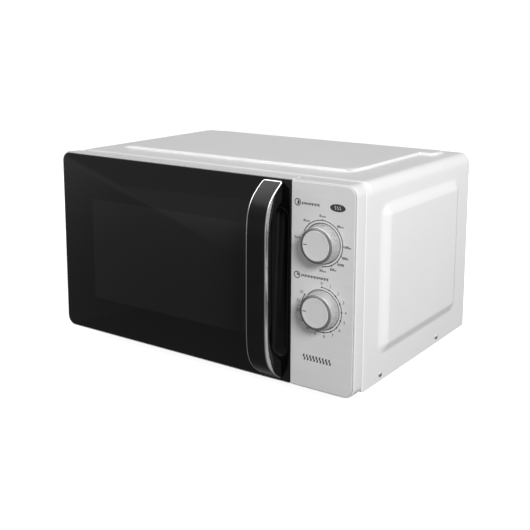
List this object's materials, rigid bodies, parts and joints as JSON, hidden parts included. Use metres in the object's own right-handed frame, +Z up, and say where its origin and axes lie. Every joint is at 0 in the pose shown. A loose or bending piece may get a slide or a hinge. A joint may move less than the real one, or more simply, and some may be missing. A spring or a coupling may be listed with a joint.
{
  "type": "microwave oven",
  "caption": "White countertop microwave oven with a black side-hinged door, bow handle, two silver dials and a turntable.",
  "frame": {"origin": "middle of the foot plane, under the centre of the whole object's box", "axes": "+X to the right seen from the front, +Y to the rear, +Z up"},
  "size_m": [0.4626, 0.3425, 0.2593],
  "materials": {
    "white_paint": "fine textured white powder coat on sheet steel",
    "front_steel": "light grey enamel",
    "cavity_enamel": "light grey easy-clean enamel",
    "zinc_plate": "zinc-plated sheet steel",
    "white_plastic": "white moulded plastic, satin gloss",
    "silver_fascia": "satin silver printed film",
    "silver_knob": "satin silver lacquer",
    "black_rubber": "black rubber",
    "screw_steel": "black zinc screw heads",
    "spindle_steel": "bright steel",
    "black_glass": "black high-gloss front pane",
    "gloss_black": "piano black plastic",
    "handle_chrome": "satin chrome",
    "screen_steel": "black painted perforated steel",
    "grey_plastic": "grey moulded plastic",
    "clear_film": "clear inner film",
    "tray_glass": "clear tempered glass",
    "natural_plastic": "natural heat-resistant plastic",
    "mica": "pressed mica sheet",
    "heater_steel": "heat-tinted sheath",
    "bulb_glass": "clear bulb",
    "anode_copper": "anode body",
    "fin_aluminium": "pressed aluminium",
    "black_plastic": "black phenolic",
    "core_steel": "laminated core, varnished",
    "copper_winding": "enamelled copper winding",
    "board": "paper-phenolic board with its components",
    "switch_red": "red phenolic micro-switch"
  },
  "bodies": {
    "cabinet": {"outer_cover": "white_paint", "cover_screws": "screw_steel", "front_plate": "front_steel", "base_plate": "zinc_plate", "rear_panel": "zinc_plate", "feet": "black_rubber", "cord_gland": "black_rubber", "panel_housing": "white_plastic", "panel_fascia": "silver_fascia", "timer_unit": "natural_plastic", "timer_bell": "zinc_plate", "power_selector_unit": "natural_plastic", "cavity_shell": "cavity_enamel", "waveguide_cover": "mica", "grill_heater": "heater_steel", "heater_brackets": "zinc_plate", "lamp_holder": "natural_plastic", "lamp_bulb": "bulb_glass", "waveguide": "zinc_plate", "magnetron_yoke": "zinc_plate", "magnetron_tube": "anode_copper", "magnetron_fins": "fin_aluminium", "thermal_cutouts": "black_plastic", "transformer_core": "core_steel", "transformer_windings": "copper_winding", "capacitor": "fin_aluminium", "capacitor_clamp": "zinc_plate", "hv_diode": "black_plastic", "fan_shroud": "natural_plastic", "fan_motor": "core_steel", "noise_filter_board": "board", "turntable_motor": "zinc_plate", "hinge_upper": "zinc_plate", "hinge_lower": "zinc_plate", "latch_board": "natural_plastic", "interlock_switches": "switch_red"},
    "door": {"door_frame": "white_plastic", "door_glass": "black_glass", "door_choke_panel": "screen_steel", "door_choke_cover": "grey_plastic", "door_inner_film": "clear_film", "handle_pocket": "gloss_black", "handle_bow": "handle_chrome", "handle_face": "gloss_black", "handle_screws": "screw_steel"},
    "door_latch": {"latch_slider": "natural_plastic", "latch_spring": "spindle_steel"},
    "timer_dial": {"timer_knob": "silver_knob", "timer_spindle": "spindle_steel"},
    "power_dial": {"power_knob": "silver_knob", "power_spindle": "spindle_steel"},
    "turntable": {"motor_spindle": "spindle_steel", "turntable_coupler": "natural_plastic", "glass_tray": "tray_glass"},
    "roller_carrier": {"roller_ring": "natural_plastic"},
    "roller_wheel_1": {"roller_1": "natural_plastic"},
    "roller_wheel_2": {"roller_2": "natural_plastic"},
    "roller_wheel_3": {"roller_3": "natural_plastic"},
    "fan_rotor": {"fan_blade": "grey_plastic", "fan_spindle": "spindle_steel"}
  },
  "joints": [
    {"name": "door_hinge", "type": "hinge", "parent": "cabinet", "child": "door", "pos_m": [-0.21875, -0.12625, 0.1355], "axis": [0, 0, -1], "range_deg": [0, 100]},
    {"name": "latch_slide", "type": "slide", "parent": "door", "child": "door_latch", "axis": [0, 0, 1], "range_m": [0, 0.004], "stiffness_N_per_m": 400, "springref_m": -0.002, "deforming": ["latch_spring"]},
    {"name": "timer_turn", "type": "hinge", "parent": "cabinet", "child": "timer_dial", "pos_m": [0.18275, -0.13625, 0.1125], "axis": [0, 1, 0], "range_deg": [-270, 32]},
    {"name": "power_turn", "type": "hinge", "parent": "cabinet", "child": "power_dial", "pos_m": [0.18275, -0.13625, 0.1885], "axis": [0, 1, 0], "range_deg": [0, 270]},
    {"name": "tray_spin", "type": "hinge", "parent": "cabinet", "child": "turntable", "pos_m": [-0.04975, 0.02275, 0.0455], "axis": [0, 0, 1], "continuous": true},
    {"name": "ring_spin", "type": "hinge", "parent": "cabinet", "child": "roller_carrier", "pos_m": [-0.04975, 0.02275, 0.0438], "axis": [0, 0, 1], "continuous": true},
    {"name": "wheel_1_spin", "type": "hinge", "parent": "roller_carrier", "child": "roller_wheel_1", "pos_m": [-0.04975, 0.11425, 0.0438], "axis": [0, 1, 0], "continuous": true},
    {"name": "wheel_2_spin", "type": "hinge", "parent": "roller_carrier", "child": "roller_wheel_2", "pos_m": [-0.12899, -0.023, 0.0438], "axis": [-0.866, -0.5, 0], "continuous": true},
    {"name": "wheel_3_spin", "type": "hinge", "parent": "roller_carrier", "child": "roller_wheel_3", "pos_m": [0.02949, -0.023, 0.0438], "axis": [0.866, -0.5, 0], "continuous": true},
    {"name": "fan_spin", "type": "hinge", "parent": "cabinet", "child": "fan_rotor", "pos_m": [0.16925, 0.13375, 0.1855], "axis": [0, 1, 0], "continuous": true}
  ],
  "couplings": [
    {"joint": "ring_spin", "follows": "tray_spin", "ratio": 0.5},
    {"joint": "wheel_1_spin", "follows": "tray_spin", "ratio": -5.7188},
    {"joint": "wheel_2_spin", "follows": "tray_spin", "ratio": -5.7188},
    {"joint": "wheel_3_spin", "follows": "tray_spin", "ratio": -5.7188}
  ]
}
